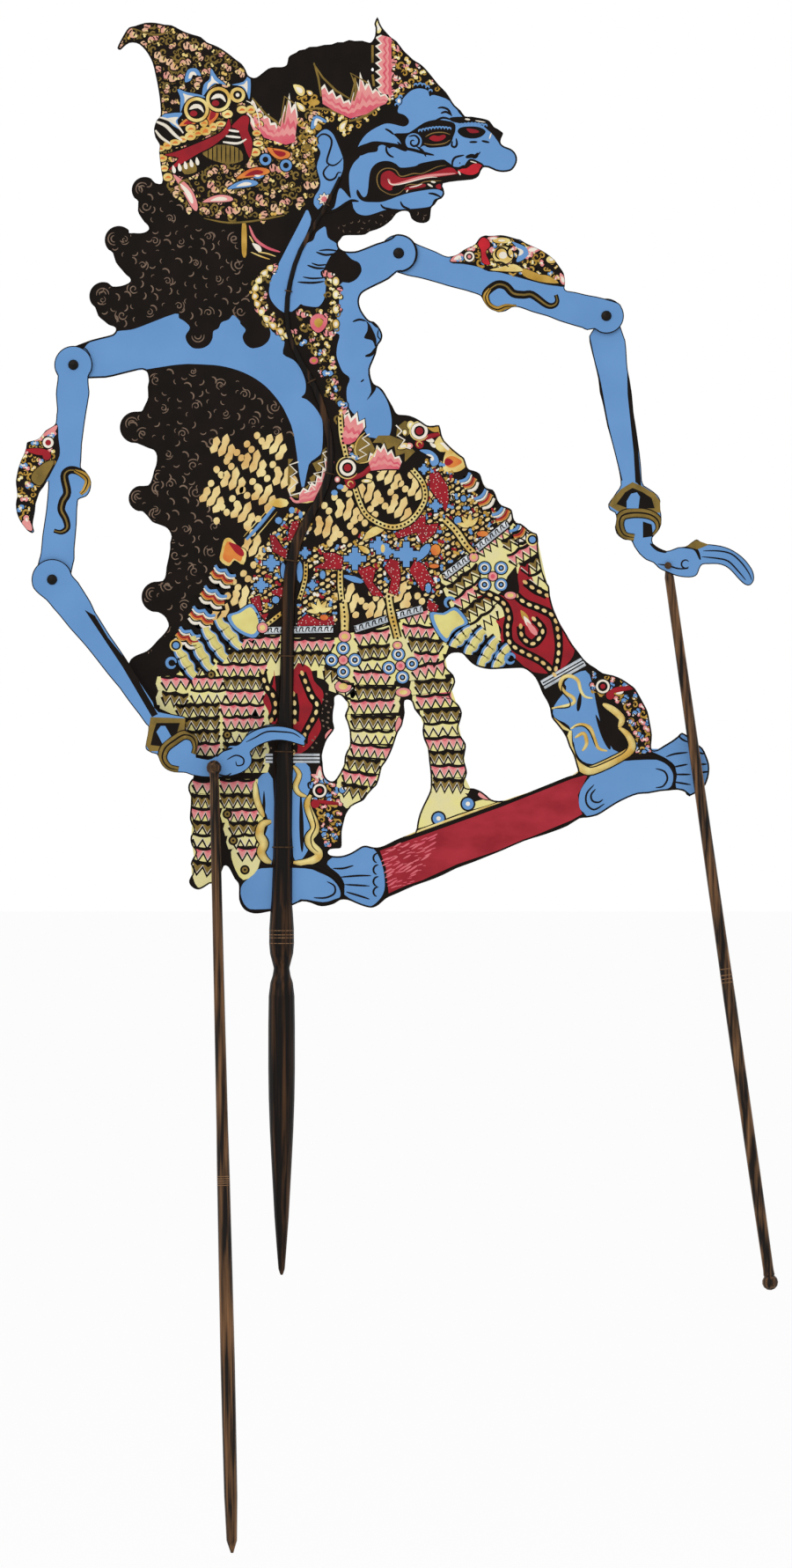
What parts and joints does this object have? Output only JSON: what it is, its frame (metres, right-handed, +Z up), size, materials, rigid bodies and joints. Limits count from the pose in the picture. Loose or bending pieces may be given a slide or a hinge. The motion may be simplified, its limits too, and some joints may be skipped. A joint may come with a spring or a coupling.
{
  "type": "hide shadow puppet on rods",
  "caption": "Flat painted hide shadow puppet with riveted arms, a split horn main rod and arm rods tied to its hands.",
  "frame": {"origin": "the pointed lower tip of the main rod, which the puppeteer holds or plants", "axes": "+Z up along the main rod, -Y towards the viewer of the front, +X to the side that the face looks to"},
  "size_m": [0.5192, 0.0366, 1.0451],
  "materials": {
    "painted_hide": "opaque paint and gold leaf on scraped hide, satin",
    "painted_arm": "opaque pale blue paint on scraped hide, satin",
    "horn": "dark polished horn with brown streaks",
    "rivet_horn": "black polished horn",
    "cord": "dark twisted cotton",
    "thread": "dark waxed thread"
  },
  "bodies": {
    "figure": {"body_hide": "painted_hide", "main_rod": "horn", "left_shoulder_rivet": "rivet_horn", "left_shoulder_rivet_button": "rivet_horn", "right_shoulder_rivet": "rivet_horn", "right_shoulder_rivet_button": "rivet_horn", "stitch_1": "thread", "stitch_2": "thread", "stitch_3": "thread", "stitch_4": "thread", "stitch_5": "thread", "stitch_6": "thread", "stitch_7": "thread", "stitch_8": "thread"},
    "left_upper": {"left_upper_arm": "painted_arm", "left_elbow_rivet": "rivet_horn", "left_elbow_rivet_button": "rivet_horn"},
    "left_fore": {"left_forearm": "painted_arm", "left_hand_tie": "cord"},
    "left_rod": {"left_arm_rod": "horn"},
    "right_upper": {"right_upper_arm": "painted_arm", "right_elbow_rivet": "rivet_horn", "right_elbow_rivet_button": "rivet_horn"},
    "right_fore": {"right_forearm": "painted_arm", "right_hand_tie": "cord"},
    "right_rod": {"right_arm_rod": "horn"}
  },
  "joints": [
    {"name": "left_shoulder", "type": "hinge", "parent": "figure", "child": "left_upper", "pos_m": [-0.1419, 0, 0.62], "axis": [0, 1, 0], "range_deg": [-45, 40]},
    {"name": "left_elbow", "type": "hinge", "parent": "left_upper", "child": "left_fore", "pos_m": [-0.1562, 0, 0.4736], "axis": [0, 1, 0], "range_deg": [-60, 40]},
    {"name": "left_rod_swing", "type": "hinge", "parent": "left_fore", "child": "left_rod", "pos_m": [-0.0457, 0, 0.3455], "axis": [0, 1, 0], "range_deg": [-30, 30]},
    {"name": "right_shoulder", "type": "hinge", "parent": "figure", "child": "right_upper", "pos_m": [0.0798, 0, 0.6962], "axis": [0, 1, 0], "range_deg": [-40, 15]},
    {"name": "right_elbow", "type": "hinge", "parent": "right_upper", "child": "right_fore", "pos_m": [0.2215, 0, 0.6537], "axis": [0, 1, 0], "range_deg": [-50, 25]},
    {"name": "right_rod_swing", "type": "hinge", "parent": "right_fore", "child": "right_rod", "pos_m": [0.263, 0, 0.483], "axis": [0, -1, 0], "range_deg": [-20, 35]}
  ]
}
